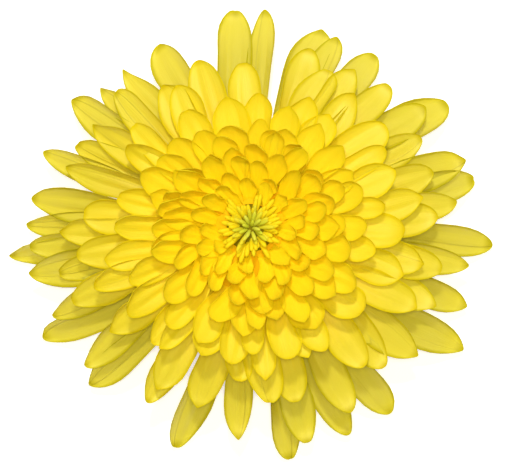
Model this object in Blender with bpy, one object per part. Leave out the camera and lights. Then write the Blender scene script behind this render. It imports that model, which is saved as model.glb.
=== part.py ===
"""A double yellow chrysanthemum bloom, cut close under its head and lying face up.

Sizes are in millimetres and become metres where a mesh is made. The origin is on the surface that
the bloom lies on, under the middle of its outline. A bearing is in degrees clockwise from +Y, seen
from above, and a rise is the angle of a direction above the horizontal.

Every ray floret has a rank: 0 is the lowest ray, which reaches furthest, and 1 is the last one
before the disc. Its root, its tip, its width and its curl all follow from the rank.
"""

import math

import bpy
import numpy as np

MM = 0.001
GOLDEN_ANGLE = 180 * (3 - math.sqrt(5))
SEED = 11

# Bloom: how far the lowest rays and the last one reach from the flower's axis, and their tips' heights
MEAN_REACH = 47.1
OVAL = 1.5
INNER_REACH = 8.8
TIP_LOW = 0.45
TIP_SETTLED = 0.8
TIP_RISE = 32.3
DIMPLE = 3.0

# Heart: the swollen end of the stalk that every floret grows from
HEART_RADIUS = 16.0
HEART_NECK = 9.5
HEART_BOTTOM = 10.7
HEART_RIM = 12.5
HEART_HEIGHT = 14.6
HEART_TURN = 72.0
HEART_EDGE = (0.4, 0.5)
HEART_SIDES = 20
HEART_BANDS = 4

# Ray floret: its outline is widest at a share of its length and closes over the tip's span
RAY_WIDTH = 7.0
RAY_NARROWING = 4.4
RAY_WIDEST = 0.66
TIP_SPAN = 0.36
TIP_BLUNTNESS = 2.2
TIP_ROUNDNESS = 0.55
OUTER_CLAW = 0.15
INNER_CLAW = 0.5
ROOT_DEPTH = 1.6
LONG_RAY_STATIONS = (0, 0.36, 0.68, 0.89, 1)
SHORT_RAY_STATIONS = (0, 0.45, 0.84, 1)
SHORT_RAY_RANK = 0.5

# Section of a ray: the keel under it, and the curl of its hollow at mid length, root and tip
RAY_KEEL = 1.2
KEEL_AT_ENDS = 0.6
OUTER_CURL = 0.42
INNER_CURL = 0.5
CURL_SHARES = (0.5, 0.9, 0.5)

# Course of a ray: how its midrib arches, rolls and leans
MIDRIB_PULL = 0.36
ARCH_DOWN = 19.0
ARCH_IN = 13.0
ROLL = 12.0
LEAN_FADING = 1.5

# Rays that follow the rule, which crowd a little towards the middle
NEIGHBOUR_STEP = 0.018
RULED_RAYS = 56
RULED_FIRST_RANK = 0.68
RULED_FIRST_BEARING = 14.0
CROWDING = 0.85

# How far each ray strays from the rule, in millimetres, degrees or as a share of its width
HEIGHT_STRAY = 0.5
REACH_STRAY = 0.5
BEARING_STRAY = 1.5
LEAN_STRAY = 6.0
ROLL_STRAY = 4.0
WIDTH_STRAY = 0.08

# Disc: the tuft of young florets in the middle
DISC_FLORETS = 44
DISC_RADIUS = 4.6
DISC_BOTTOM = 26.8
DISC_SHOULDER = 28.0
DISC_TOP = 28.8
DISC_SIDES = 16
TUFT_SHARE = 0.55
FLORET_SINK = 0.5
FLORET_LENGTH = 4.6
FLORET_WIDTH = 1.2
FLORET_LEAN = 60.0
FLORET_SIDES = 3
FLORET_OUTLINE = ((0, 0.7), (0.62, 1.0), (1, 0.3))

# Involucre: the green cup under the rays, with two rows of bracts. Each row gives the (radius,
# height) of a bract's root and of its tip, and its rise at the one and at the other.
CUP_PROFILE = ((3.2, 3.6), (6.8, 4.8), (10.2, 7.4), (11.4, 10.4))
CUP_SIDES = 24
BRACTS_IN_ROW = 13
BRACT_WIDTH = 5.6
BRACT_KEEL = 0.8
BRACT_STATIONS = (0, 0.55, 1)
BRACT_WIDTHS = (0.6, 1.0, 0.35)
BRACT_CURLS = (0.9, 0.7, 0.6)
LOWER_BRACT = ((5.4, 5.2), (11.4, 6.9), 2, 34)
UPPER_BRACT = ((9.2, 8.2), (15.6, 10.6), 12, 26)

# Stalk: what is left of the stem above the cut
STALK_RADIUS = 2.4
STALK_RIBS = 6
RIB_HEIGHT = 0.25
STALK_TOP = 3.3

# Finishes
RAY_YELLOW = (0.93, 0.76, 0.05)
DISC_YELLOW = (0.62, 0.66, 0.06)
BRACT_GREEN = (0.17, 0.27, 0.06)
STALK_GREEN = (0.24, 0.33, 0.09)
SHARP_ANGLE = 40.0

# The rays that show at the edge, clockwise from the top of the bloom. Each is the bearing of its
# tip, its reach, how many degrees it leans clockwise on its way from root to tip, and its width.
EDGE_RAYS = (
    (3.5, 45.2, 1, 5.2), (19, 43.5, 5, 8.4), (23.5, 43, 1, 6.4), (34.5, 44.3, 3, 7), (43, 40, 0, 6.4),
    (56, 47.7, 7, 8.2), (54, 43, 4, 7), (61, 39, 2, 6.4), (71, 45, 3, 7), (76, 46.5, 1, 6.6),
    (81.5, 41.2, 1, 6.4), (92.5, 48.3, 4, 6.4), (98.5, 44, 2, 6), (108.5, 45.2, 0, 6.8),
    (112, 39.3, -1, 6.6), (118.5, 47.7, 0, 7.6), (126.5, 40.7, 0, 7), (142, 45.5, 0, 7.2),
    (151, 40.5, 1, 6.6), (154, 44.3, -1, 6.6), (165, 43, 1, 6.2), (170, 45.8, -2, 6.2),
    (183.5, 40.7, -1, 5.4), (199.5, 45.2, 4, 6.6), (211.5, 39.5, 0, 6.6), (227, 44.3, 3, 7),
    (231.5, 42.5, 0, 6.6), (243.6, 46.8, 5, 6.2), (247.5, 43, 1, 6.2), (258, 39.3, 0, 6.2),
    (259.8, 44.7, 5, 7.2), (265, 48.5, 0, 6.2), (266.5, 44.5, 0, 6.2), (272.5, 45.5, -1, 6.2),
    (279, 44.5, -4, 6.6), (289.5, 38.7, -1, 6.2), (291.5, 44.8, -1, 5.8), (297, 39, -2, 6.4),
    (306.8, 44.5, -1, 7.6), (314, 41.7, -4, 4.8), (316, 39, 0, 6.2), (322, 41, -3, 5.4),
    (334, 42, -3, 8), (356, 45.5, 9, 6.8),
)

# The next row, in the same way
SECOND_RAYS = (
    (18, 38.2, 4, 6.6), (25.5, 35.8, 4, 6.6), (32.5, 38, 1, 6.6), (37, 34, 0, 6.8), (52, 33.7, 4, 6.8),
    (72, 38.3, 0, 6.8), (79, 34, 0, 6.8), (85.5, 37, -1, 6.4), (101.5, 38.6, 0, 6.4),
    (101, 34.3, 0, 6.8), (115, 35.5, -1, 6.8), (135, 37.5, 1, 7), (140, 34.7, 3, 6.8),
    (165.5, 35, 1, 6.6), (174, 34.3, -1, 6.4), (197, 35.8, 0, 6.8), (211, 36, 0, 6.6),
    (234.5, 33.8, 0, 6.8), (248.5, 38, -1, 6.6), (262, 35, 2, 6.6), (270, 37.7, 1, 6.6),
    (276, 33.3, -1, 6.8), (304, 37.2, -2, 6.6), (329, 33.5, 0, 7), (343, 35.5, -1, 7),
    (357, 33.7, 0, 6.8),
)

# The short ones above them, in the same way
THIRD_RAYS = (
    (3.5, 26.8, 2, 6.4), (5.5, 21.6, 1, 4.8), (17.5, 24.8, 0, 5.8), (19.5, 20.7, 0, 5.6),
    (24, 28.2, 0, 7), (34.5, 27, 0, 6.2), (33.5, 24.4, 0, 5), (31, 19.4, 0, 5), (48.5, 23.9, 0, 5.6),
    (51, 17.8, 0, 4.6), (58.5, 31.1, 2, 5.4), (61, 22.7, 0, 5.2), (68, 30.6, 0, 6.4),
    (70.5, 23.3, 0, 5.4), (71, 17.6, 0, 4.6), (80, 26.8, 0, 5), (90.5, 30.4, 0, 6.4),
    (89.5, 23, 0, 5.2), (89.5, 17, 0, 4.6), (100.5, 24.8, 0, 5), (102.5, 20.4, 0, 5.8),
    (106.5, 31, 1, 7), (118.5, 24, -2, 5.8), (127, 27.6, 0, 7), (129, 21.3, 0, 5),
    (147, 23.6, 0, 6.6), (148.5, 28.2, -2, 5.8), (156, 27.2, 0, 5.4), (163.5, 26.8, -1, 6.4),
    (164.5, 19, 0, 4.8), (174.5, 29.4, -1, 5.4), (179, 24.6, 0, 4.4), (176, 20, 0, 4.4),
    (185, 29.8, -1, 6), (188.5, 27, 0, 6.4), (184, 21, 0, 5.2), (201.5, 26.8, 0, 6),
    (205, 24.3, 0, 6), (217.5, 29, -2, 5), (221, 29.6, 0, 5.8), (221, 25.2, 0, 5.6),
    (232, 22.2, 0, 5.4), (237, 29.4, 0, 6.8), (248, 26, 0, 5.6), (251, 33, 0, 5.6),
    (258.5, 29.2, 0, 5.6), (259, 20.2, 0, 5.4), (271.5, 26.9, 0, 5.6), (270.5, 19.5, 0, 5),
    (284, 27, 0, 5.8), (284, 18.6, 0, 4.8), (292, 18.4, 0, 4.6), (297, 24.4, 0, 6.6),
    (304.5, 29.6, 0, 5.8), (306.5, 18.2, 0, 4.8), (309, 22.6, 0, 5), (312, 31, 0, 5.6),
    (319, 23.4, 0, 6.2), (333, 32.2, -2, 7), (331, 26.9, 0, 6), (333, 21.7, 0, 5.4),
    (331, 16.4, 0, 4.6), (349.5, 26.2, 0, 6.8), (349, 20.9, 0, 6.2), (346.5, 15.8, 0, 4.8),
)


def clear_scene():
    for obj in list(bpy.data.objects):
        bpy.data.objects.remove(obj)


def principled(name, color, roughness):
    """A plain finish of one colour."""
    material = bpy.data.materials.new(name)
    material.use_nodes = True
    shader = material.node_tree.nodes["Principled BSDF"]
    shader.inputs["Base Color"].default_value = (*color, 1)
    shader.inputs["Roughness"].default_value = roughness
    shader.inputs["Metallic"].default_value = 0
    return material


def mesh_object(name, points, faces, collection=None):
    """An object whose mesh has these points, given in millimetres."""
    mesh = bpy.data.meshes.new(name)
    mesh.from_pydata((np.asarray(points) * MM).tolist(), [], faces)
    obj = bpy.data.objects.new(name, mesh)
    (collection or bpy.context.scene.collection).objects.link(obj)
    return obj


def finish(obj, material):
    obj.data.materials.clear()
    obj.data.materials.append(material)
    obj.data.shade_smooth()
    obj.data.set_sharp_from_angle(angle=math.radians(SHARP_ANGLE))


def new_collection(name):
    collection = bpy.data.collections.new(name)
    bpy.context.scene.collection.children.link(collection)
    return collection


def fuse(body, parts):
    """Joins every object of the collection to the body, then removes them."""
    union = body.modifiers.new("union", "BOOLEAN")
    union.operation = "UNION"
    union.operand_type = "COLLECTION"
    union.collection = parts
    union.solver = "MANIFOLD"
    graph = bpy.context.evaluated_depsgraph_get()
    joined = bpy.data.meshes.new_from_object(body.evaluated_get(graph))
    body.modifiers.clear()
    body.data = joined
    for obj in list(parts.objects):
        bpy.data.objects.remove(obj)
    bpy.data.collections.remove(parts)


def ring_faces(rings, sides):
    """Triangles of a closed solid made of equal rings of points, with a flat fan at each end.

    The quads are split by turns one way and the other, so a blade's two faces are split alike.
    """
    faces = [(0, k + 1, k) for k in range(1, sides - 1)]
    for ring in range(rings - 1):
        for k in range(sides):
            a, b = ring * sides + k, ring * sides + (k + 1) % sides
            c, d = b + sides, a + sides
            faces += [(a, b, d), (b, c, d)] if k % 2 else [(a, b, c), (a, c, d)]
    top = (rings - 1) * sides
    faces += [(top, top + k, top + k + 1) for k in range(1, sides - 1)]
    return faces


def turned(name, profile, sides):
    """A solid turned round +Z from (radius, height) points, flat at its two ends."""
    turn = np.arange(sides) * 2 * math.pi / sides
    points = [(r * math.cos(a), r * math.sin(a), z) for r, z in profile for a in turn]
    return mesh_object(name, points, ring_faces(len(profile), sides))


def outer_reach(bearing):
    """The reach of the lowest rays: the bloom is a little wider along X than along Y."""
    return MEAN_REACH - OVAL * math.cos(2 * math.radians(bearing))


def rank_of(bearing, reach):
    """The rank at which a ray of this bearing reaches this far: the reach falls evenly with rank."""
    outer = outer_reach(bearing)
    return max(0, (outer - reach) / (outer - INNER_REACH))


def reach_of(rank, bearing):
    outer = outer_reach(bearing)
    return outer - (outer - INNER_REACH) * rank


def tip_height(rank):
    """How high a ray's tip is before it settles: the lowest ones would be under the surface."""
    return TIP_RISE * math.sin(rank * math.pi / 2) - TIP_SETTLED - DIMPLE * rank**8


def heart_flank(rank):
    """(radius, height) on the heart's flank, where a ray of this rank stands."""
    turn = math.radians(HEART_TURN * rank)
    return HEART_RADIUS * math.cos(turn), HEART_RIM + HEART_HEIGHT * math.sin(turn)


def midrib(root, tip, rise_at_root, rise_at_tip, along):
    """(radius, height, rise) along a cubic curve that leaves the root and ends at these rises."""
    start, end = np.array(root), np.array(tip)
    leave, arrive = math.radians(rise_at_root), math.radians(rise_at_tip)
    pull = MIDRIB_PULL * np.linalg.norm(end - start)
    first = start + pull * np.array([math.cos(leave), math.sin(leave)])
    second = end - pull * np.array([math.cos(arrive), math.sin(arrive)])
    s = along[:, None]
    at = (1 - s) ** 3 * start + 3 * s * (1 - s) ** 2 * first + 3 * s**2 * (1 - s) * second + s**3 * end
    slope = (1 - s) ** 2 * (first - start) + 2 * s * (1 - s) * (second - first) + s**2 * (end - second)
    return at[:, 0], at[:, 1], np.arctan2(slope[:, 1], slope[:, 0])


def half_width(along, width, claw):
    """Half the blade's width: the claw's share at the root, widest at two thirds, then a blunt tip."""
    body = claw + (1 - claw) * np.sin(np.clip(along / RAY_WIDEST, 0, 1) * math.pi / 2)
    end = np.clip((along - RAY_WIDEST) / TIP_SPAN, 0, 1)
    return width / 2 * body * (1 - end**TIP_BLUNTNESS) ** TIP_ROUNDNESS


def blade(name, collection, bearing, lean, path, along, half, curl, roll, keel):
    """A closed blade along a midrib: hollow above, keeled below and thin at its two edges.

    Each station has four points: hollow, right edge, keel and left edge. The section above is an
    arc whose half angle is the curl, and no point goes under the surface that the bloom lies on.
    """
    points = []
    for r, z, rise, h, c, s in zip(*path, half, curl, along):
        course = math.radians(bearing - lean * (1 - s) ** LEAN_FADING)
        outward = np.array([math.sin(course), math.cos(course), 0])
        side = np.array([math.cos(course), -math.sin(course), 0])
        facing = -outward * math.sin(rise) + np.array([0, 0, math.cos(rise)])
        turn = math.radians(roll) * s
        across = side * math.cos(turn) + facing * math.sin(turn)
        above = facing * math.cos(turn) - side * math.sin(turn)
        hollow = outward * r + np.array([0, 0, z])
        spread = across * math.sin(c) * h / c
        lift = above * (1 - math.cos(c)) * h / c
        depth = keel * (KEEL_AT_ENDS + (1 - KEEL_AT_ENDS) * math.sin(math.pi * s))
        section = [hollow, hollow + spread + lift, hollow - above * depth, hollow - spread + lift]
        points += [(x, y, max(z, 0)) for x, y, z in section]
    return mesh_object(name, points, ring_faces(len(along), 4), collection)


def ray(name, collection, rank, bearing, reach, lean, width, draw):
    """One ray floret, from inside the heart out to its tip.

    The lowest rays arch down from root to tip, and the last ones bend inwards over the disc.
    """
    along = np.array(LONG_RAY_STATIONS if rank < SHORT_RAY_RANK else SHORT_RAY_STATIONS)
    root = heart_flank(rank)
    tip = (reach, max(TIP_LOW, tip_height(rank) + draw.normal(0, HEIGHT_STRAY)))
    slope = math.degrees(math.atan2(tip[1] - root[1], tip[0] - root[0]))
    bend = ARCH_DOWN - (ARCH_DOWN + ARCH_IN) * rank
    path = midrib(root, tip, slope + bend, slope - bend, along)
    path[0][0] -= ROOT_DEPTH * math.cos(path[2][0])
    path[1][0] -= ROOT_DEPTH * math.sin(path[2][0])
    width *= draw.uniform(1 - WIDTH_STRAY, 1 + WIDTH_STRAY)
    middle, root_more, tip_more = CURL_SHARES
    curl = (OUTER_CURL + INNER_CURL * rank) * (middle + root_more * (1 - along) ** 2 + tip_more * along**3)
    roll = ROLL + draw.normal(0, ROLL_STRAY)
    half = half_width(along, width, OUTER_CLAW + (INNER_CLAW - OUTER_CLAW) * rank**3)
    return blade(name, collection, bearing, lean, path, along, half, curl, roll, RAY_KEEL)


def ray_florets():
    """The yellow rays and the heart that they grow from, in one body."""
    flank = [heart_flank(band / HEART_BANDS) for band in range(HEART_BANDS + 1)]
    edge = (HEART_RADIUS - HEART_EDGE[0], HEART_RIM - HEART_EDGE[1])
    profile = [(HEART_NECK, HEART_BOTTOM), edge, *flank]
    heart = turned("ray_florets", profile, HEART_SIDES)
    rays = new_collection("rays")
    draw = np.random.default_rng(SEED)
    for k, (bearing, reach, lean, width) in enumerate(EDGE_RAYS + SECOND_RAYS + THIRD_RAYS):
        rank = max(0, rank_of(bearing, reach) + NEIGHBOUR_STEP * (-1) ** k)
        ray(f"listed_{k}", rays, rank, bearing, reach, lean, width, draw)
    for k in range(RULED_RAYS):
        rank = RULED_FIRST_RANK + (1 - RULED_FIRST_RANK) * (k / (RULED_RAYS - 1)) ** CROWDING
        bearing = RULED_FIRST_BEARING + k * GOLDEN_ANGLE + draw.normal(0, BEARING_STRAY)
        reach = reach_of(rank, bearing) + draw.normal(0, REACH_STRAY)
        lean = draw.normal(0, LEAN_STRAY)
        ray(f"ruled_{k}", rays, rank, bearing, reach, lean, RAY_WIDTH - RAY_NARROWING * rank**2, draw)
    fuse(heart, rays)
    finish(heart, principled("ray_yellow", RAY_YELLOW, 0.5))


def disc_floret(name, collection, place, bearing, lean):
    """A young floret: a slim three-sided spindle, swollen at two thirds."""
    course, tip = math.radians(bearing), math.radians(lean)
    outward = np.array([math.sin(course), math.cos(course), 0])
    side = np.array([math.cos(course), -math.sin(course), 0])
    axis = outward * math.sin(tip) + np.array([0, 0, math.cos(tip)])
    face = np.cross(axis, side)
    turn = np.arange(FLORET_SIDES) * 2 * math.pi / FLORET_SIDES
    points = []
    for s, width in FLORET_OUTLINE:
        centre = place + axis * FLORET_LENGTH * s
        for a in turn:
            points.append(centre + (side * math.cos(a) + face * math.sin(a)) * width * FLORET_WIDTH / 2)
    return mesh_object(name, points, ring_faces(len(FLORET_OUTLINE), FLORET_SIDES), collection)


def disc_florets():
    """The greenish tuft in the middle: florets that lean out more the further they stand out."""
    profile = [(DISC_RADIUS, DISC_BOTTOM), (DISC_RADIUS, DISC_SHOULDER), (DISC_RADIUS / 2, DISC_TOP)]
    base = turned("disc_florets", profile, DISC_SIDES)
    tuft = new_collection("tuft")
    for k in range(DISC_FLORETS):
        share = math.sqrt((k + 0.5) / DISC_FLORETS)
        bearing = k * GOLDEN_ANGLE
        course = math.radians(bearing)
        radius = TUFT_SHARE * DISC_RADIUS * share
        height = DISC_SHOULDER - FLORET_SINK
        place = np.array([radius * math.sin(course), radius * math.cos(course), height])
        disc_floret(f"floret_{k}", tuft, place, bearing, FLORET_LEAN * share)
    fuse(base, tuft)
    finish(base, principled("disc_green_yellow", DISC_YELLOW, 0.55))


def involucre():
    """The green cup under the rays, with bracts that lie against it and then stand away."""
    cup = turned("involucre", CUP_PROFILE, CUP_SIDES)
    bracts = new_collection("bracts")
    along = np.array(BRACT_STATIONS)
    half = BRACT_WIDTH / 2 * np.array(BRACT_WIDTHS)
    for row, (root, tip, leave, arrive) in enumerate((LOWER_BRACT, UPPER_BRACT)):
        for k in range(BRACTS_IN_ROW):
            bearing = (k + row / 2) * 360 / BRACTS_IN_ROW
            path = midrib(root, tip, leave, arrive, along)
            blade(f"bract_{row}_{k}", bracts, bearing, 0, path, along, half, BRACT_CURLS, 0, BRACT_KEEL)
    fuse(cup, bracts)
    finish(cup, principled("bract_green", BRACT_GREEN, 0.6))


def stalk():
    """The ribbed stub of the stem, with its flat cut end on the surface."""
    sides = 4 * STALK_RIBS
    turn = np.arange(sides) * 2 * math.pi / sides
    radius = STALK_RADIUS + RIB_HEIGHT * np.cos(STALK_RIBS * turn)
    ring = np.column_stack([radius * np.sin(turn), radius * np.cos(turn)])
    points = [(x, y, z) for z in (0, STALK_TOP) for x, y in ring]
    stub = mesh_object("stalk", points, [face[::-1] for face in ring_faces(2, sides)])
    finish(stub, principled("stalk_green", STALK_GREEN, 0.6))


def main():
    clear_scene()
    ray_florets()
    disc_florets()
    involucre()
    stalk()


main()
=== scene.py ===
"""The looks of a double yellow chrysanthemum bloom, cut close under its head and lying face up.

The file follows the bloom from its cut stalk up to the tuft in the middle, then sets the surface it
lies on, the light and the camera. Sizes are in millimetres and become metres where a mesh is made.
A bearing is in degrees clockwise from +Y, seen from above. Each ray floret has a rank, from 0 for
the lowest ray to 1 for the last one before the disc.
"""

import math

import bpy
import numpy as np
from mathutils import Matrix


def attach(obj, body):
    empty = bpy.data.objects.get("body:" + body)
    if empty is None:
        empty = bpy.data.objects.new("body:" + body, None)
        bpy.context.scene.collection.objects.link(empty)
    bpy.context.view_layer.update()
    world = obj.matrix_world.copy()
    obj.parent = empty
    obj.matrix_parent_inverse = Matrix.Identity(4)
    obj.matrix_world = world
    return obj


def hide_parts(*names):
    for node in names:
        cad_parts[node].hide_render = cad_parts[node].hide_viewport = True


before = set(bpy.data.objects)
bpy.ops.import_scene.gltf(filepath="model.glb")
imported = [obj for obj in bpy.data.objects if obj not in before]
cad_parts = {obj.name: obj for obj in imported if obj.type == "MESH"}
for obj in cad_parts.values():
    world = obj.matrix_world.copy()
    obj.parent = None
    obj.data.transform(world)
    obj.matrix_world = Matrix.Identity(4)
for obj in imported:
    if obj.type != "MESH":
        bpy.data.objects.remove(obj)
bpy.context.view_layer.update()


# Stalk
# The stub of the stem that the head was cut on. It is a ribbed green stem, round at its ribs, with
# a pale moist cut across it that stands on the surface.

MM = 0.001
STALK_RADIUS = 2.4
STALK_TOP = 3.5
STALK_RIBS = 6
RIB_HEIGHT = 0.22
CUT_BEVEL = 0.25


class Field:
    """A value in a material. Sums, differences and products of fields become Math nodes."""

    def __init__(self, material, socket):
        self.material = material
        self.socket = socket

    def _math(self, operation, first, second):
        node = self.material.add("ShaderNodeMath", {"operation": operation}, {0: first, 1: second})
        return Field(self.material, node.outputs[0])

    def __add__(self, other):
        return self._math("ADD", self, other)

    def __radd__(self, other):
        return self._math("ADD", other, self)

    def __sub__(self, other):
        return self._math("SUBTRACT", self, other)

    def __rsub__(self, other):
        return self._math("SUBTRACT", other, self)

    def __mul__(self, other):
        return self._math("MULTIPLY", self, other)

    def __rmul__(self, other):
        return self._math("MULTIPLY", other, self)

    def __abs__(self):
        return self._math("ABSOLUTE", self, 0.0)

    def step(self, low, high):
        """0 below low, 1 above high, and a smooth rise between them."""
        settings = {"interpolation_type": "SMOOTHSTEP"}
        node = self.material.add("ShaderNodeMapRange", settings, {0: self, 1: low, 2: high})
        return Field(self.material, node.outputs[0])


class Finish:
    """A procedural material: one Principled shader and the nodes that feed it."""

    def __init__(self, name, **constants):
        self.data = bpy.data.materials.new(name)
        self.data.use_nodes = True
        self.tree = self.data.node_tree
        self.shader = self.tree.nodes["Principled BSDF"]
        for socket, value in constants.items():
            label = socket.replace("_", " ").title().replace("Ior", "IOR")
            self.shader.inputs[label].default_value = value

    def feed(self, socket, value):
        if isinstance(value, Field):
            self.tree.links.new(value.socket, socket)
        else:
            socket.default_value = value

    def add(self, kind, settings=None, sockets=None):
        """Adds a node, sets its settings, then fills its sockets with values or links."""
        node = self.tree.nodes.new(kind)
        for key, value in (settings or {}).items():
            setattr(node, key, value)
        for key, value in (sockets or {}).items():
            self.feed(node.inputs[key], value)
        return node

    def read(self, attribute):
        """A number that the mesh carries at each point."""
        node = self.add("ShaderNodeAttribute", {"attribute_name": attribute})
        return Field(self, node.outputs["Fac"])

    def vector(self, x, y, z):
        node = self.add("ShaderNodeCombineXYZ", None, {0: x, 1: y, 2: z})
        return Field(self, node.outputs[0])

    def place(self):
        return Field(self, self.add("ShaderNodeTexCoord").outputs["Object"])

    def noise(self, where, scale, detail):
        sockets = {"Vector": where, "Scale": scale, "Detail": detail}
        return Field(self, self.add("ShaderNodeTexNoise", None, sockets).outputs["Fac"])

    def blend(self, share, first, second):
        """A colour that goes from the first to the second as the share goes from 0 to 1."""
        node = self.add("ShaderNodeMix", {"data_type": "RGBA"})
        self.feed(node.inputs[0], share)
        for socket, value in ((node.inputs[6], first), (node.inputs[7], second)):
            self.feed(socket, (*value, 1.0) if isinstance(value, tuple) else value)
        return Field(self, node.outputs[2])

    def show(self, color, roughness=None, height=None):
        """Sets the colour, and if given the roughness and the height in metres of the fine relief."""
        self.feed(self.shader.inputs["Base Color"], color)
        if roughness is not None:
            self.feed(self.shader.inputs["Roughness"], roughness)
        if height is not None:
            bump = self.add("ShaderNodeBump", None, {"Strength": 1.0, "Distance": 1.0, "Height": height})
            self.tree.links.new(bump.outputs[0], self.shader.inputs["Normal"])
        return self.data


def ringed_faces(solids, stations, sides):
    """Quads of like closed solids, each made of rings of points, as an array of corner numbers.

    The grid of corners is numbered solid by solid, ring by ring. An end is closed by quads that join
    the first half of its ring to the second half.
    """
    number = np.arange(solids * stations * sides).reshape(solids, stations, sides)
    turned = np.roll(number, -1, axis=2)
    walls = np.stack([number[:, :-1], turned[:, :-1], turned[:, 1:], number[:, 1:]], axis=-1)
    near = np.arange(sides // 2 - 1)
    far = sides - 1 - near
    root, end = number[:, 0], number[:, -1]
    root_cap = np.stack([root[:, near], root[:, far], root[:, far - 1], root[:, near + 1]], axis=-1)
    end_cap = np.stack([end[:, near], end[:, near + 1], end[:, far - 1], end[:, far]], axis=-1)
    return np.concatenate([quads.reshape(-1, 4) for quads in (walls, root_cap, end_cap)])


def make_piece(name, points, faces, material, numbers=None):
    """A smooth object from points in millimetres and faces of equal corner counts.

    The numbers are named arrays with a value for each point, which its material reads.
    """
    points = np.asarray(points, dtype=np.float32).reshape(-1, 3) * MM
    corners = faces.shape[1]
    mesh = bpy.data.meshes.new(name)
    mesh.vertices.add(len(points))
    mesh.vertices.foreach_set("co", points.ravel())
    mesh.loops.add(faces.size)
    mesh.loops.foreach_set("vertex_index", faces.astype(np.int32).ravel())
    mesh.polygons.add(len(faces))
    mesh.polygons.foreach_set("loop_start", np.arange(len(faces), dtype=np.int32) * corners)
    mesh.update(calc_edges=True)
    for key, values in (numbers or {}).items():
        layer = mesh.attributes.new(key, "FLOAT", "POINT")
        layer.data.foreach_set("value", np.asarray(values, dtype=np.float32).ravel())
    mesh.validate()
    mesh.shade_smooth()
    mesh.materials.append(material)
    obj = bpy.data.objects.new(name, mesh)
    bpy.context.scene.collection.objects.link(obj)
    return obj


def stem_finish():
    """Green with paler ribs and fine lengthwise streaks, and a pale pith on the cut."""
    finish = Finish("stem_skin", roughness=0.5, subsurface_weight=0.1)
    rib, pith = finish.read("rib"), finish.read("pith")
    streak = finish.noise(finish.place(), 2400.0, 3.0)
    skin = finish.blend(rib.step(-0.8, 0.9), (0.13, 0.21, 0.035), (0.27, 0.36, 0.09))
    skin = finish.blend(streak * 0.5, skin, (0.34, 0.40, 0.14))
    color = finish.blend(pith, skin, (0.62, 0.66, 0.38))
    return finish.show(color, 0.62 - 0.2 * pith, streak * 0.00006)


def stalk():
    """Rings of points: a ribbed wall, a bevel at the cut, and the flat cut drawn in to its middle."""
    turn = np.linspace(0, 2 * math.pi, 48, endpoint=False)
    rings = [(0.05, 0.0, 1), (0.5, 0.0, 1), (0.86, 0.0, 0.8), (0.97, 0.1, 0.3), (1, CUT_BEVEL, 0)]
    rings += [(1 - 0.02 * math.sin(z), z, 0) for z in np.linspace(0.8, STALK_TOP, 6)]
    rings += [(0.05, STALK_TOP, 0)]
    share, height, pith = np.array(rings).T
    ribs = np.cos(STALK_RIBS * turn)
    radius = share[:, None] * (STALK_RADIUS + RIB_HEIGHT * ribs)
    z = np.broadcast_to(height[:, None], radius.shape)
    points = np.stack([radius * np.cos(turn), radius * np.sin(turn), z], axis=-1)
    numbers = {
        "rib": np.broadcast_to(ribs, radius.shape),
        "pith": np.broadcast_to(pith[:, None], radius.shape),
    }
    faces = ringed_faces(1, len(rings), len(turn))
    return make_piece("stalk_stub", points, faces, stem_finish(), numbers)


stub = stalk()
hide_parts("stalk")
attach(stub, "root")


# Involucre
# The green cup under the rays. Its bracts are thin leaf scales with pale papery edges, in two rows
# that overlap like tiles and press against the undersides of the lowest rays.

# (radius, height) up the cup and across its top
CUP_PROFILE = (
    (0.3, 3.55), (2.5, 3.5), (4.0, 3.8), (6.8, 4.8), (9.0, 6.2),
    (10.4, 7.8), (11.2, 9.4), (10.9, 10.3), (6.0, 10.4), (0.3, 10.4),
)
BRACTS_IN_ROW = 13
BRACT_WIDTH = 5.6
BRACT_THICKNESS = 0.32
BRACT_WIDEST = 0.42
# (radius, height) of a bract's root and of its tip, and its rise at the one and at the other
LOWER_BRACT = ((5.0, 4.6), (11.6, 7.3), 2, 32)
UPPER_BRACT = ((8.8, 7.6), (15.6, 10.9), 12, 24)
MIDRIB_PULL = 0.36


def midrib(start, end, leave, arrive, along):
    """Radius, height and rise along cubic curves, one row for each blade.

    A curve leaves its start and reaches its end at the given angles above the horizontal, in
    radians, pulled by a share of the straight distance at each end.
    """
    pull = MIDRIB_PULL * np.linalg.norm(end - start, axis=1, keepdims=True)
    first = start + pull * np.column_stack([np.cos(leave), np.sin(leave)])
    second = end - pull * np.column_stack([np.cos(arrive), np.sin(arrive)])
    s = along[None, :, None]
    a, b, c, d = start[:, None], first[:, None], second[:, None], end[:, None]
    at = (1 - s) ** 3 * a + 3 * s * (1 - s) ** 2 * b + 3 * s**2 * (1 - s) * c + s**3 * d
    slope = (1 - s) ** 2 * (b - a) + 2 * s * (1 - s) * (c - b) + s**2 * (d - c)
    return at[..., 0], at[..., 1], np.arctan2(slope[..., 1], slope[..., 0])


def gutter(across):
    """How far a section has turned up at each column: nearly flat in its middle half, 1 at the edge."""
    margin = np.clip((np.abs(across) - 0.5) / 0.5, 0, 1) ** 1.3
    return np.sign(across) * (0.2 * np.abs(across) + 0.8 * margin)


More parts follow.
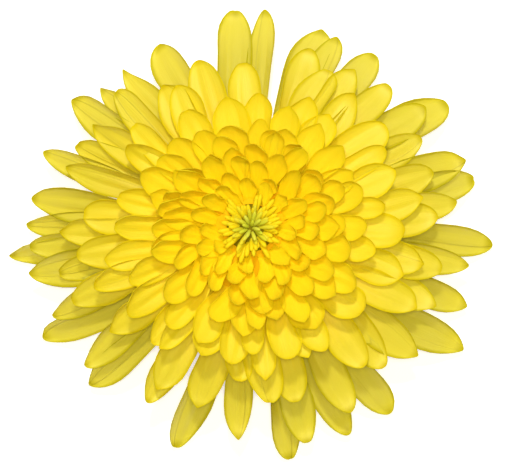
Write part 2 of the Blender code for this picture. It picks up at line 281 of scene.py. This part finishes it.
def blades(course, radius, height, rise, half, bend, turn, across, lift, thickness):
    """Closed thin blades: points of rings that run over the upper face and back under it.

    Every array has a row for each blade and a column for each station, and those on the upper face
    have a layer for each column across too. A section's half length is half, its slope is bend, and
    it is turned by turn about the midrib, with lift added along its normal. The lower face is the
    upper one moved back along the normal by the thickness.
    """
    level = np.zeros_like(course)
    outward = np.stack([np.sin(course), np.cos(course), level], axis=-1)
    side = np.stack([np.cos(course), -np.sin(course), level], axis=-1)
    up = np.zeros_like(outward)
    up[..., 2] = 1
    facing = up * np.cos(rise)[..., None] - outward * np.sin(rise)[..., None]
    tilt = turn[..., None]
    crosswise = side * np.cos(tilt) + facing * np.sin(tilt)
    above = facing * np.cos(tilt) - side * np.sin(tilt)
    middle = outward * radius[..., None] + up * height[..., None]
    between = (bend[..., 1:] + bend[..., :-1]) / 2
    stride = (half[..., 1:] + half[..., :-1]) / 2 * np.diff(across)
    sideways = np.insert(np.cumsum(stride * np.cos(between), axis=-1), 0, 0, axis=-1)
    upwards = np.insert(np.cumsum(stride * np.sin(between), axis=-1), 0, 0, axis=-1)
    center = len(across) // 2
    sideways = sideways - sideways[..., center : center + 1]
    upwards = upwards - upwards[..., center : center + 1]
    point = middle[:, :, None] + crosswise[:, :, None] * sideways[..., None]
    point = point + above[:, :, None] * upwards[..., None]
    normal = above[:, :, None] * np.cos(bend)[..., None] - crosswise[:, :, None] * np.sin(bend)[..., None]
    upper = point + normal * lift[..., None]
    lower = upper - normal * thickness[..., None]
    rings = np.concatenate([upper, lower[:, :, ::-1]], axis=2)
    rings[..., 2] = np.maximum(rings[..., 2], 0)
    return rings[:, :, ::-1]


def both_faces(values):
    """A value for each point of the upper face, repeated for the lower one in ring order."""
    return np.concatenate([values, values[:, :, ::-1]], axis=2)[:, :, ::-1]


def bract_finish():
    """Mid green along the rib, paler towards papery buff edges, with fine lengthwise veins."""
    finish = Finish("bract_skin", roughness=0.55, subsurface_weight=0.15)
    along, across = finish.read("along"), finish.read("across")
    mottle = finish.noise(finish.place(), 900.0, 3.0)
    vein = finish.noise(finish.vector(across * 9.0, along * 0.8, mottle), 2.5, 2.0)
    green = finish.blend(vein, (0.12, 0.21, 0.035), (0.22, 0.33, 0.08))
    edge = abs(across).step(0.62, 0.98)
    tip = along.step(0.86, 1.0)
    color = finish.blend(edge * 0.8, green, (0.50, 0.50, 0.22))
    color = finish.blend(tip * 0.6, color, (0.34, 0.25, 0.10))
    return finish.show(color, 0.5 + 0.25 * mottle, vein * 0.00012)


def bracts():
    """Two rows of blades, each widest at two fifths and drawn to a blunt point."""
    along = np.linspace(0, 1, 9)
    across = np.array([-1, -0.7, -0.35, 0, 0.35, 0.7, 1.0])
    count = 2 * BRACTS_IN_ROW
    row = np.arange(count) // BRACTS_IN_ROW
    bearing = np.radians((np.arange(count) % BRACTS_IN_ROW + row / 2) * 360 / BRACTS_IN_ROW)
    start = np.array([LOWER_BRACT[0], UPPER_BRACT[0]])[row]
    end = np.array([LOWER_BRACT[1], UPPER_BRACT[1]])[row]
    leave = np.radians(np.array([LOWER_BRACT[2], UPPER_BRACT[2]])[row])
    arrive = np.radians(np.array([LOWER_BRACT[3], UPPER_BRACT[3]])[row])
    radius, height, rise = midrib(start, end, leave, arrive, along)
    swell = np.sin(np.clip(along / BRACT_WIDEST, 0, 1) * math.pi / 2)
    shape = (0.55 + 0.45 * swell) * (1 - along**3.2) ** 0.8
    grid = (count, len(along), len(across))
    half = np.broadcast_to((BRACT_WIDTH / 2 * np.maximum(shape, 0.06))[:, None], grid)
    course = np.broadcast_to(bearing[:, None], radius.shape)
    bend = np.broadcast_to((0.9 - 0.3 * along)[:, None] * gutter(across), grid)
    keel = np.broadcast_to(-0.12 * np.exp(-((across / 0.2) ** 2)), grid)
    thin = np.broadcast_to(BRACT_THICKNESS * (1 - 0.6 * across**2), grid)
    points = blades(course, radius, height, rise, half, bend, np.zeros(radius.shape), across, keel, thin)
    numbers = {
        "along": both_faces(np.broadcast_to(along[:, None], grid)),
        "across": both_faces(np.broadcast_to(across, grid)),
    }
    faces = ringed_faces(count, len(along), 2 * len(across))
    return make_piece("bracts", points, faces, bract_finish(), numbers)


def cup_finish():
    """Mottled green, a little darker than the bracts."""
    finish = Finish("cup_skin", roughness=0.6)
    mottle = finish.noise(finish.place(), 700.0, 4.0)
    return finish.show(finish.blend(mottle, (0.11, 0.19, 0.03), (0.21, 0.31, 0.08)), 0.6, mottle * 0.0001)


def turned(name, profile, sides, material):
    """A profile of (radius, height) points carried round the flower's axis."""
    turn = np.linspace(0, 2 * math.pi, sides, endpoint=False)
    radius, height = np.array(profile).T
    z = np.broadcast_to(height[:, None], (len(profile), sides))
    points = np.stack([radius[:, None] * np.cos(turn), radius[:, None] * np.sin(turn), z], axis=-1)
    return make_piece(name, points, ringed_faces(1, len(profile), sides), material)


cup = turned("involucre_cup", CUP_PROFILE, 48, cup_finish())
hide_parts("involucre")
scales = bracts()
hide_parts("involucre")
for piece in (cup, scales):
    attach(piece, "root")


# Receptacle
# The swollen end of the stalk that every floret grows from. It only shows as a glimpse between the
# claws of the rays, so it is painted the deep orange gold of the shade and bounced yellow light there.

HEART_RADIUS = 16.0
HEART_NECK = 9.5
HEART_BOTTOM = 10.7
HEART_RIM = 12.5
HEART_HEIGHT = 14.6
HEART_TURN = 72.0


def heart_flank(rank):
    """(radius, height) on the flank, where a ray of this rank stands."""
    turn = np.radians(HEART_TURN * rank)
    return HEART_RADIUS * np.cos(turn), HEART_RIM + HEART_HEIGHT * np.sin(turn)


def heart_finish():
    """Deep orange gold: painted shade and painted bounced light of the gaps between the ray claws."""
    finish = Finish("receptacle_gap_shade", roughness=0.7, specular_ior_level=0.05)
    mottle = finish.noise(finish.place(), 500.0, 4.0)
    return finish.show(finish.blend(mottle, (0.85, 0.42, 0.004), (0.93, 0.54, 0.008)), 0.7, mottle * 0.0002)


flank = np.column_stack(heart_flank(np.linspace(0, 1, 14)))
heart_profile = [(0.3, HEART_BOTTOM), (HEART_NECK, HEART_BOTTOM), (HEART_RADIUS - 0.4, HEART_RIM - 0.5)]
heart_profile += [tuple(point) for point in flank] + [(0.3, flank[-1, 1] + 0.2)]
heart = turned("receptacle", heart_profile, 64, heart_finish())
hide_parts("ray_florets")
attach(heart, "root")


# Ray florets
# The yellow petals, each a thin strap with a narrow claw at its root, two lengthwise folds and a
# blunt tip. The lowest ones arch down to the surface, those above them are cupped like spoons with
# hooded tips, and the last ones stand round the disc. They are listed or ruled as in the solids.

GOLDEN_ANGLE = 180 * (3 - math.sqrt(5))
SEED = 11
MEAN_REACH = 47.1
OVAL = 1.5
INNER_REACH = 8.8
TIP_LOW = 0.45
TIP_SETTLED = 0.8
TIP_RISE = 32.3
DIMPLE = 3.0
RAY_WIDTH = 7.0
RAY_NARROWING = 4.4
ROOT_DEPTH = 1.6
ROLL = 12.0
ARCH_DOWN = 19.0
ARCH_IN = 13.0
OUTER_CLAW = 0.15
INNER_CLAW = 0.8
NEIGHBOUR_STEP = 0.018
RULED_RAYS = 56
RULED_FIRST_RANK = 0.68
RULED_FIRST_BEARING = 14.0
CROWDING = 0.85

# How far a ray strays from its listed or ruled place
HEIGHT_STRAY = 0.5
REACH_STRAY = 0.5
BEARING_STRAY = 1.5
LEAN_STRAY = 6.0
ROLL_STRAY = 4.0
WIDTH_STRAY = 0.08

# The rays that show at the edge, clockwise from the top of the bloom. Each is the bearing of its
# tip, its reach, how many degrees it leans clockwise on its way from root to tip, and its width.
EDGE_RAYS = (
    (3.5, 45.2, 1, 5.2), (19, 43.5, 5, 8.4), (23.5, 43, 1, 6.4), (34.5, 44.3, 3, 7), (43, 40, 0, 6.4),
    (56, 47.7, 7, 8.2), (54, 43, 4, 7), (61, 39, 2, 6.4), (71, 45, 3, 7), (76, 46.5, 1, 6.6),
    (81.5, 41.2, 1, 6.4), (92.5, 48.3, 4, 6.4), (98.5, 44, 2, 6), (108.5, 45.2, 0, 6.8),
    (112, 39.3, -1, 6.6), (118.5, 47.7, 0, 7.6), (126.5, 40.7, 0, 7), (142, 45.5, 0, 7.2),
    (151, 40.5, 1, 6.6), (154, 44.3, -1, 6.6), (165, 43, 1, 6.2), (170, 45.8, -2, 6.2),
    (183.5, 40.7, -1, 5.4), (199.5, 45.2, 4, 6.6), (211.5, 39.5, 0, 6.6), (227, 44.3, 3, 7),
    (231.5, 42.5, 0, 6.6), (243.6, 46.8, 5, 6.2), (247.5, 43, 1, 6.2), (258, 39.3, 0, 6.2),
    (259.8, 44.7, 5, 7.2), (265, 48.5, 0, 6.2), (266.5, 44.5, 0, 6.2), (272.5, 45.5, -1, 6.2),
    (279, 44.5, -4, 6.6), (289.5, 38.7, -1, 6.2), (291.5, 44.8, -1, 5.8), (297, 39, -2, 6.4),
    (306.8, 44.5, -1, 7.6), (314, 41.7, -4, 4.8), (316, 39, 0, 6.2), (322, 41, -3, 5.4),
    (334, 42, -3, 8), (356, 45.5, 9, 6.8),
)

# The next row, in the same way
SECOND_RAYS = (
    (18, 38.2, 4, 6.6), (25.5, 35.8, 4, 6.6), (32.5, 38, 1, 6.6), (37, 34, 0, 6.8), (52, 33.7, 4, 6.8),
    (72, 38.3, 0, 6.8), (79, 34, 0, 6.8), (85.5, 37, -1, 6.4), (101.5, 38.6, 0, 6.4),
    (101, 34.3, 0, 6.8), (115, 35.5, -1, 6.8), (135, 37.5, 1, 7), (140, 34.7, 3, 6.8),
    (165.5, 35, 1, 6.6), (174, 34.3, -1, 6.4), (197, 35.8, 0, 6.8), (211, 36, 0, 6.6),
    (234.5, 33.8, 0, 6.8), (248.5, 38, -1, 6.6), (262, 35, 2, 6.6), (270, 37.7, 1, 6.6),
    (276, 33.3, -1, 6.8), (304, 37.2, -2, 6.6), (329, 33.5, 0, 7), (343, 35.5, -1, 7),
    (357, 33.7, 0, 6.8),
)

# The short ones above them, in the same way
THIRD_RAYS = (
    (3.5, 26.8, 2, 6.4), (5.5, 21.6, 1, 4.8), (17.5, 24.8, 0, 5.8), (19.5, 20.7, 0, 5.6),
    (24, 28.2, 0, 7), (34.5, 27, 0, 6.2), (33.5, 24.4, 0, 5), (31, 19.4, 0, 5), (48.5, 23.9, 0, 5.6),
    (51, 17.8, 0, 4.6), (58.5, 31.1, 2, 5.4), (61, 22.7, 0, 5.2), (68, 30.6, 0, 6.4),
    (70.5, 23.3, 0, 5.4), (71, 17.6, 0, 4.6), (80, 26.8, 0, 5), (90.5, 30.4, 0, 6.4),
    (89.5, 23, 0, 5.2), (89.5, 17, 0, 4.6), (100.5, 24.8, 0, 5), (102.5, 20.4, 0, 5.8),
    (106.5, 31, 1, 7), (118.5, 24, -2, 5.8), (127, 27.6, 0, 7), (129, 21.3, 0, 5),
    (147, 23.6, 0, 6.6), (148.5, 28.2, -2, 5.8), (156, 27.2, 0, 5.4), (163.5, 26.8, -1, 6.4),
    (164.5, 19, 0, 4.8), (174.5, 29.4, -1, 5.4), (179, 24.6, 0, 4.4), (176, 20, 0, 4.4),
    (185, 29.8, -1, 6), (188.5, 27, 0, 6.4), (184, 21, 0, 5.2), (201.5, 26.8, 0, 6),
    (205, 24.3, 0, 6), (217.5, 29, -2, 5), (221, 29.6, 0, 5.8), (221, 25.2, 0, 5.6),
    (232, 22.2, 0, 5.4), (237, 29.4, 0, 6.8), (248, 26, 0, 5.6), (251, 33, 0, 5.6),
    (258.5, 29.2, 0, 5.6), (259, 20.2, 0, 5.4), (271.5, 26.9, 0, 5.6), (270.5, 19.5, 0, 5),
    (284, 27, 0, 5.8), (284, 18.6, 0, 4.8), (292, 18.4, 0, 4.6), (297, 24.4, 0, 6.6),
    (304.5, 29.6, 0, 5.8), (306.5, 18.2, 0, 4.8), (309, 22.6, 0, 5), (312, 31, 0, 5.6),
    (319, 23.4, 0, 6.2), (333, 32.2, -2, 7), (331, 26.9, 0, 6), (333, 21.7, 0, 5.4),
    (331, 16.4, 0, 4.6), (349.5, 26.2, 0, 6.8), (349, 20.9, 0, 6.2), (346.5, 15.8, 0, 4.8),
)

# The thin petal: wider than its solid by SPREAD, with margins that turn up, two folds, creases on
# some, a wavy edge and a hooded tip that may be skewed and lipped
SPREAD = 1.1
RAY_WIDEST = 0.66
RAY_THICKNESS = 0.34
EDGE_THINNING = 0.78
FOLD_PLACE = 0.34
FOLD_WIDTH = 0.11
FOLD_DEPTH = 0.45
CREASE_PLACES = (0.18, 0.5)
NO_CREASE = 2.0
SUNWARD_ROLL = 16.0
SHADY_CURL = 0.4
STEEPEST = 1.4
OUTER_GUTTER = 1.75
INNER_GUTTER = 1.2
TIP_CUP = 0.2
HOOD_LENGTH = 3.6
HOOD_TURN = 50.0
EDGE_WAVE = 0.3
EDGE_WAVES = 1.3
TIP_SKEW = 0.3
TIP_LIP = 0.5
LIP_WIDTH = 0.22
BODY_STATIONS = 7
CAP_TURNS = (12, 26, 40, 53, 64, 74, 82, 88)
ACROSS = (-1, -0.9, -0.75, -0.58, -0.42, -0.32, -0.16, 0, 0.16, 0.32, 0.42, 0.58, 0.75, 0.9, 1)


def outer_reach(bearing):
    """How far the lowest rays reach at a bearing: a mean that swells and shrinks twice a turn."""
    return MEAN_REACH - OVAL * np.cos(2 * np.radians(bearing))


def ray_places():
    """One row for each ray: rank, bearing, reach, lean, tip height, width and roll."""
    draw = np.random.default_rng(SEED)
    rows = []

    def place(rank, bearing, reach, lean, width):
        height = TIP_RISE * math.sin(rank * math.pi / 2) - TIP_SETTLED - DIMPLE * rank**8
        height = max(TIP_LOW, height + draw.normal(0, HEIGHT_STRAY))
        width *= draw.uniform(1 - WIDTH_STRAY, 1 + WIDTH_STRAY)
        rows.append((rank, bearing, reach, lean, height, width, ROLL + draw.normal(0, ROLL_STRAY)))

    for k, (bearing, reach, lean, width) in enumerate(EDGE_RAYS + SECOND_RAYS + THIRD_RAYS):
        outer = outer_reach(bearing)
        rank = max(0, max(0, (outer - reach) / (outer - INNER_REACH)) + NEIGHBOUR_STEP * (-1) ** k)
        place(rank, bearing, reach, lean, width)
    for k in range(RULED_RAYS):
        rank = RULED_FIRST_RANK + (1 - RULED_FIRST_RANK) * (k / (RULED_RAYS - 1)) ** CROWDING
        bearing = RULED_FIRST_BEARING + k * GOLDEN_ANGLE + draw.normal(0, BEARING_STRAY)
        outer = outer_reach(bearing)
        reach = outer - (outer - INNER_REACH) * rank + draw.normal(0, REACH_STRAY)
        width = RAY_WIDTH - RAY_NARROWING * rank**2
        place(rank, bearing, reach, draw.normal(0, LEAN_STRAY), width)
    return np.array(rows).T


def petal_finish():
    """Lemon yellow low on the bloom and gold towards its middle, with fine lengthwise veins, and
    painted shade at the roots of the outer rays, along the margins, in the hooded tips and creases.
    """
    finish = Finish(
        "petal_skin",
        roughness=0.55,
        subsurface_weight=0.35,
        subsurface_radius=(1.0, 0.9, 0.25),
        subsurface_scale=0.0004,
        specular_ior_level=0.15,
        specular_tint=(1.0, 0.8, 0.25, 1.0),
        coat_roughness=0.6,
        coat_ior=1.8,
    )
    along, across, rank, tint = (finish.read(key) for key in ("along", "across", "rank", "tint"))
    grain = finish.noise(finish.vector(across * 6.0, along * 1.4, tint * 40.0), 3.0, 3.0)
    vein = finish.noise(finish.vector(across * 14.0, along * 0.9, tint * 40.0), 2.0, 2.0)
    lemon = finish.blend(grain, (0.70, 0.60, 0.030), (0.74, 0.635, 0.046))
    yellow = finish.blend(grain, (0.75, 0.60, 0.014), (0.79, 0.635, 0.022))
    gold = finish.blend(grain, (0.93, 0.655, 0.008), (0.96, 0.69, 0.012))
    margin_shade_band = abs(across).step(0.72, 0.98) * along.step(0.25, 0.6)
    end = along.step(0.93, 1.0)
    sheen = (1.0 - 0.95 * rank.step(0.05, 0.75)) * (1.0 - margin_shade_band) * (1.0 - end)
    finish.feed(finish.shader.inputs["Coat Weight"], sheen)
    color = finish.blend(rank.step(0.0, 0.42), lemon, yellow)
    color = finish.blend(rank.step(0.42, 0.95), color, gold)
    # Towards the root the inner rays deepen to gold, their own colour, and the outer rays to dark olive,
    # which is painted shade where they pass under the rays above.
    low = 1.0 - rank.step(0.05, 0.45)
    root = finish.blend(low, (0.93, 0.64, 0.005), (0.40, 0.34, 0.004))
    root_gold_and_shade = (1.0 - (along - 0.15 * low).step(0.3, 0.76)) * (0.7 - 0.25 * low)
    color = finish.blend(root_gold_and_shade, color, root)
    # Darker margins and hooded tips: dark olive painted shade of the upturned margins and hoods on the
    # outer rays; on the inner rays a deeper gold, partly their own colour and partly painted shade.
    edge_shade_strength = 0.85 - 0.6 * rank.step(0.3, 0.9)
    margin = finish.blend(rank.step(0.05, 0.5), (0.40, 0.34, 0.003), (0.74, 0.54, 0.003))
    color = finish.blend(end * edge_shade_strength, color, margin)
    color = finish.blend(margin_shade_band * edge_shade_strength, color, margin)
    # A thin dark olive line along each crease of the lower rays: painted shade in the crease, with a
    # matching dent in the relief.
    crease = 1.0 - abs(finish.read("crease")).step(0.0, 0.08)
    drawn = crease * along.step(0.1, 0.5) * (1.0 - rank.step(0.1, 0.6)) * tint.step(0.1, 0.9)
    color = finish.blend(drawn * 0.4, color, (0.46, 0.38, 0.004))
    color = finish.blend(vein.step(0.52, 0.72) * 0.05, color, (0.94, 0.78, 0.03))
    return finish.show(color, 0.5 + 0.14 * grain, vein * 0.00005 + grain * 0.00003 - drawn * 0.0001)


def rays():
    """All the rays at once, as rings over a grid of stations along and columns across.

    The midrib is a cubic curve that arches down on low rays and in on high ones, and its tip is
    drawn up into a hood. The width grows from the claw to two thirds, then closes on a blunt tip.
    """
    rank, bearing, reach, lean, height, width, roll = ray_places()
    extra = np.random.default_rng(SEED + 1)
    count = len(rank)
    cap = RAY_WIDEST + (1 - RAY_WIDEST) * np.sin(np.radians(CAP_TURNS))
    along = np.concatenate([np.linspace(0, RAY_WIDEST, BODY_STATIONS), cap])
    across = np.array(ACROSS)
    start = np.column_stack(heart_flank(rank))
    end = np.column_stack([reach, height])
    slope = np.arctan2(end[:, 1] - start[:, 1], end[:, 0] - start[:, 0])
    bend = np.radians(ARCH_DOWN - (ARCH_DOWN + ARCH_IN) * rank + extra.normal(0, 4, count))
    radius, level, rise = midrib(start, end, slope + bend, slope - bend, along)

    length = np.linalg.norm(end - start, axis=1)
    zone = np.clip(HOOD_LENGTH * extra.uniform(0.7, 1.4, count) / length, 0.08, 0.4)
    hood = np.radians(HOOD_TURN) * extra.uniform(0.3, 1.3, count) * (1 - 0.35 * rank)
    drawn = np.clip((along - 1 + zone[:, None]) / zone[:, None], 0, 1)
    rise = rise + hood[:, None] * drawn**1.3
    stride = np.hypot(np.diff(radius), np.diff(level))
    between = (rise[:, 1:] + rise[:, :-1]) / 2
    radius[:, 1:] = radius[:, :1] + np.cumsum(stride * np.cos(between), axis=1)
    level[:, 1:] = level[:, :1] + np.cumsum(stride * np.sin(between), axis=1)
    radius[:, 0] -= ROOT_DEPTH * np.cos(rise[:, 0])
    level[:, 0] -= ROOT_DEPTH * np.sin(rise[:, 0])

    claw = (OUTER_CLAW + (INNER_CLAW - OUTER_CLAW) * rank**3)[:, None]
    body = claw + (1 - claw) * np.sin(np.clip(along / RAY_WIDEST, 0, 1) * math.pi / 2)
    close = np.clip((along - RAY_WIDEST) / (1 - RAY_WIDEST), 0, 1)
    bluntness = extra.uniform(1.9, 2.7, (count, 1))
    roundness = extra.uniform(0.46, 0.68, (count, 1))
    half = SPREAD * width[:, None] / 2 * body * (1 - close**bluntness) ** roundness
    depth = OUTER_GUTTER + (INNER_GUTTER - OUTER_GUTTER) * np.clip(rank / 0.2, 0, 1)
    depth = depth * extra.uniform(0.7, 1.15, count)
    curl = depth[:, None] * (0.75 + 0.25 * (1 - along)) + TIP_CUP * drawn
    lean = lean + extra.normal(0, 2.5, count)
    course = np.radians(bearing[:, None] - lean[:, None] * (1 - along) ** 1.5)
    aslant = roll + extra.normal(0, 6, count) - SUNWARD_ROLL * np.sin(np.radians(bearing))
    turn = np.radians(aslant)[:, None] * along

    grid = (count, len(along), len(across))
    s, v = along[None, :, None], across[None, None, :]
    uneven = extra.uniform(-0.3, 0.3, count) - SHADY_CURL * np.sin(np.radians(bearing))
    bend = curl[..., None] * gutter(across) * (1 + uneven[:, None, None] * np.sign(v))
    bend = np.clip(bend, -STEEPEST, STEEPEST)
    skew = extra.uniform(-TIP_SKEW, TIP_SKEW, (count, 1, 1))
    half = half[..., None] * (1 + skew * np.sign(v) * close[None, :, None] ** 1.5)
    lip = extra.uniform(-TIP_LIP, TIP_LIP, (count, 1, 1))
    sideways = v * half / (width[:, None, None] / 2)
    advance = lip * np.exp(-((sideways / LIP_WIDTH) ** 2)) * close[None, :, None] ** 3
    phase = extra.uniform(0, 2 * math.pi, (count, 1, 2))
    sway = np.where(v > 0, phase[..., 1:], phase[..., :1])
    wave = EDGE_WAVE * np.sin(2 * math.pi * EDGE_WAVES * s + sway)
    wave = wave * np.abs(v) ** 2.5 * np.sin(math.pi * s)
    depths = extra.uniform(0.3, 1.5, (count, 1, 2)) * FOLD_DEPTH
    depths = np.where(v > 0, depths[..., 1:], depths[..., :1])
    folds = -depths * np.exp(-(((np.abs(v) - FOLD_PLACE) / FOLD_WIDTH) ** 2))
    folds = folds * np.sin(math.pi * s**0.8)
    lift = wave + folds * (half / 4)
    thin = RAY_THICKNESS * (1 - EDGE_THINNING * v**2) * (1 - 0.2 * s - 0.6 * s**8)
    thin = np.broadcast_to(thin, grid)
    points = blades(course, radius, level, rise, half, bend, turn, across, lift, thin)
    ahead = [np.sin(course) * np.cos(rise), np.cos(course) * np.cos(rise), np.sin(rise)]
    points += np.stack(ahead, axis=-1)[:, :, None] * both_faces(advance)[..., None]
    tint = extra.uniform(0, 1, count)
    creases = extra.uniform(*CREASE_PLACES, (count, 1, 2))
    creases = np.where(extra.uniform(0, 1, (count, 1, 2)) < 0.5, NO_CREASE, creases)
    crease = np.abs(v) - np.where(v > 0, creases[..., 1:], creases[..., :1])
    numbers = {
        "crease": both_faces(np.broadcast_to(crease, grid)),
        "along": both_faces(np.broadcast_to(s, grid)),
        "across": both_faces(np.broadcast_to(v, grid)),
        "rank": both_faces(np.broadcast_to(rank[:, None, None], grid)),
        "tint": both_faces(np.broadcast_to(tint[:, None, None], grid)),
    }
    faces = ringed_faces(count, len(along), 2 * len(across))
    return make_piece("ray_petals", points, faces, petal_finish(), numbers)


petals = rays()
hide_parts("ray_florets")
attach(petals, "root")


# Disc florets
# The tuft of young florets in the middle. Each is a greenish finger with a rounded end that has not
# opened yet, and they bend out from the middle like a shaving brush pressed down.

DISC_FLORETS = 84
DISC_RADIUS = 4.6
DISC_BOTTOM = 26.8
DISC_SHOULDER = 28.0
BED_EDGE = 27.6
FLORET_WIDTH = 1.0
FLORET_REACH = 6.9
FLORET_SIDES = 8
FLORET_STATIONS = (0, 0.2, 0.4, 0.6, 0.76, 0.88, 0.96, 0.99)
FLORET_GIRTHS = (0.5, 0.62, 0.8, 0.96, 1.0, 0.86, 0.56, 0.2)


def disc_finish():
    """Yellow fingers, greener towards the middle of the tuft and deeper gold at their roots, which is
    painted shade where the fingers crowd.
    """
    finish = Finish(
        "disc_floret_skin",
        roughness=0.5,
        subsurface_weight=0.25,
        subsurface_radius=(1.0, 0.8, 0.2),
        subsurface_scale=0.0008,
        specular_ior_level=0.2,
        specular_tint=(1.0, 0.9, 0.4, 1.0),
    )
    along, ring, tint = finish.read("along"), finish.read("ring"), finish.read("tint")
    green = finish.blend(tint, (0.56, 0.58, 0.035), (0.70, 0.70, 0.09))
    color = finish.blend(ring.step(0.2, 0.8), green, (0.86, 0.64, 0.010))
    # Deeper gold over the lower half of each finger: painted shade between the crowded fingers.
    color = finish.blend((1.0 - along.step(0.1, 0.5)) * 0.8, color, (0.70, 0.54, 0.010))
    speck = finish.noise(finish.place(), 3000.0, 2.0)
    return finish.show(color, 0.5, speck * 0.00004)


def tuft():
    """Fingers of oval section along curves that leave upright and arch out, by the golden angle.

    The tips are spread evenly over the tuft's disc, and the middle ones stand highest.
    """
    draw = np.random.default_rng(SEED + 2)
    order = np.arange(DISC_FLORETS)
    share = np.sqrt((order + 0.9) / DISC_FLORETS)
    course = np.radians(order * GOLDEN_ANGLE + draw.normal(0, 9, DISC_FLORETS))
    root = 0.5 * DISC_RADIUS * share**1.5
    tip = FLORET_REACH * share**0.7 * draw.uniform(0.7, 1.1, DISC_FLORETS)
    crown = DISC_SHOULDER + 3.0 - 2.2 * share + draw.normal(0, 0.3, DISC_FLORETS)
    start = np.column_stack([root, np.full(DISC_FLORETS, DISC_SHOULDER - 0.8)])
    end = np.column_stack([tip, crown])
    along = np.array(FLORET_STATIONS)
    leave = np.radians(85 - 40 * share)
    arrive = np.radians(40 - 50 * share)
    radius, height, rise = midrib(start, end, leave, arrive, along)
    girth = np.array(FLORET_GIRTHS) * FLORET_WIDTH / 2 * (0.7 + 0.35 * share[:, None])
    turn = np.linspace(0, 2 * math.pi, FLORET_SIDES, endpoint=False)
    course = np.broadcast_to(course[:, None], radius.shape)
    level = np.zeros_like(radius)
    outward = np.stack([np.sin(course), np.cos(course), level], axis=-1)[:, :, None]
    side = np.stack([np.cos(course), -np.sin(course), level], axis=-1)[:, :, None]
    up = np.array([0.0, 0.0, 1.0])
    facing = up * np.cos(rise)[..., None, None] - outward * np.sin(rise)[..., None, None]
    around = side * np.cos(turn)[:, None] - facing * np.sin(turn)[:, None] * 0.7
    middle = outward * radius[..., None, None] + up * height[..., None, None]
    points = middle + around * girth[..., None, None]
    grid = (DISC_FLORETS, len(along), FLORET_SIDES)
    tint = draw.uniform(0, 1, DISC_FLORETS)
    numbers = {
        "along": np.broadcast_to(along[None, :, None], grid),
        "ring": np.broadcast_to(share[:, None, None], grid),
        "tint": np.broadcast_to(tint[:, None, None], grid),
    }
    faces = ringed_faces(DISC_FLORETS, len(along), FLORET_SIDES)
    return make_piece("disc_tuft", points, faces, disc_finish(), numbers)


def bed_finish():
    """Dark olive: painted shade between the crowded fingers."""
    finish = Finish("disc_bed_shade", roughness=0.7, specular_ior_level=0.05)
    mottle = finish.noise(finish.place(), 900.0, 3.0)
    return finish.show(finish.blend(mottle, (0.12, 0.10, 0.003), (0.26, 0.20, 0.006)), 0.7, mottle * 0.0002)


bed_profile = [(0.2, DISC_BOTTOM), (DISC_RADIUS, DISC_BOTTOM), (DISC_RADIUS, BED_EDGE)]
for turn in (0.4, 0.8, 1.2, 1.5):
    bed_profile.append((DISC_RADIUS * math.cos(turn), BED_EDGE + math.sin(turn)))
bed = turned("disc_bed", bed_profile, 32, bed_finish())
florets = tuft()
for piece in (bed, florets):
    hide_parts("disc_florets")
    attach(piece, "root")


# Surface
# A plain pale table that the bloom lies on. It gives off a faint cool light of its own, which keeps
# the shadow under the bloom pale.

FLOOR_HALF = 3000.0


def floor_finish():
    """Flat near-white with a faint glow."""
    finish = Finish("pale_table", roughness=0.9, emission_color=(0.6, 0.6, 1, 1), emission_strength=0.6)
    return finish.show((0.97, 0.97, 0.97, 1.0))


corners = FLOOR_HALF * np.array([(-1, -1, 0), (1, -1, 0), (1, 1, 0), (-1, 1, 0)])
floor = make_piece("table", corners, np.array([[0, 1, 2, 3]]), floor_finish())


# Light
# A small key high beyond the top of the picture, a larger and warmer box straight above, and an
# even warm surround.

def soft_box(name, place, size, power, color=(1, 1, 1)):
    """A square area light at this place, in metres, facing the bloom."""
    data = bpy.data.lights.new(name, "AREA")
    data.size = size
    data.energy = power
    data.color = color
    lamp = bpy.data.objects.new(name, data)
    lamp.location = place
    away = np.array(place)
    flat = math.hypot(away[0], away[1])
    lamp.rotation_euler = (math.atan2(flat, away[2]), 0, math.atan2(away[1], away[0]) + math.pi / 2)
    bpy.context.scene.collection.objects.link(lamp)


soft_box("key", (-0.03, 0.43, 0.94), 0.08, 4.8)
soft_box("front", (0.0, -0.02, 1.25), 0.2, 9.7, (1.0, 0.97, 0.45))

world = bpy.data.worlds.new("surround")
world.use_nodes = True
world.node_tree.nodes["Background"].inputs["Color"].default_value = (1.0, 0.95, 0.45, 1)
world.node_tree.nodes["Background"].inputs["Strength"].default_value = 0.22
bpy.context.scene.world = world


# Camera
# Almost straight above the bloom, three degrees off the axis, with +Y at the top of the picture.
# Its distance and lens frame a little more than the width of the bloom.

CAMERA_DISTANCE = 0.5
CAMERA_ELEVATION = math.radians(87)
VIEW_WIDTH = 0.1003
SENSOR_WIDTH = 36.0
AIM = (0.0003, -0.0006, 0.012)

camera_data = bpy.data.cameras.new("camera")
camera_data.sensor_width = SENSOR_WIDTH
camera_data.lens = SENSOR_WIDTH * CAMERA_DISTANCE / VIEW_WIDTH
camera = bpy.data.objects.new("camera", camera_data)
camera.location = (
    AIM[0],
    AIM[1] - CAMERA_DISTANCE * math.cos(CAMERA_ELEVATION),
    AIM[2] + CAMERA_DISTANCE * math.sin(CAMERA_ELEVATION),
)
camera.rotation_euler = (math.pi / 2 - CAMERA_ELEVATION, 0, 0)
bpy.context.scene.collection.objects.link(camera)
bpy.context.scene.camera = camera
bpy.context.scene.view_settings.view_transform = "Standard"
bpy.context.scene.view_settings.look = "None"
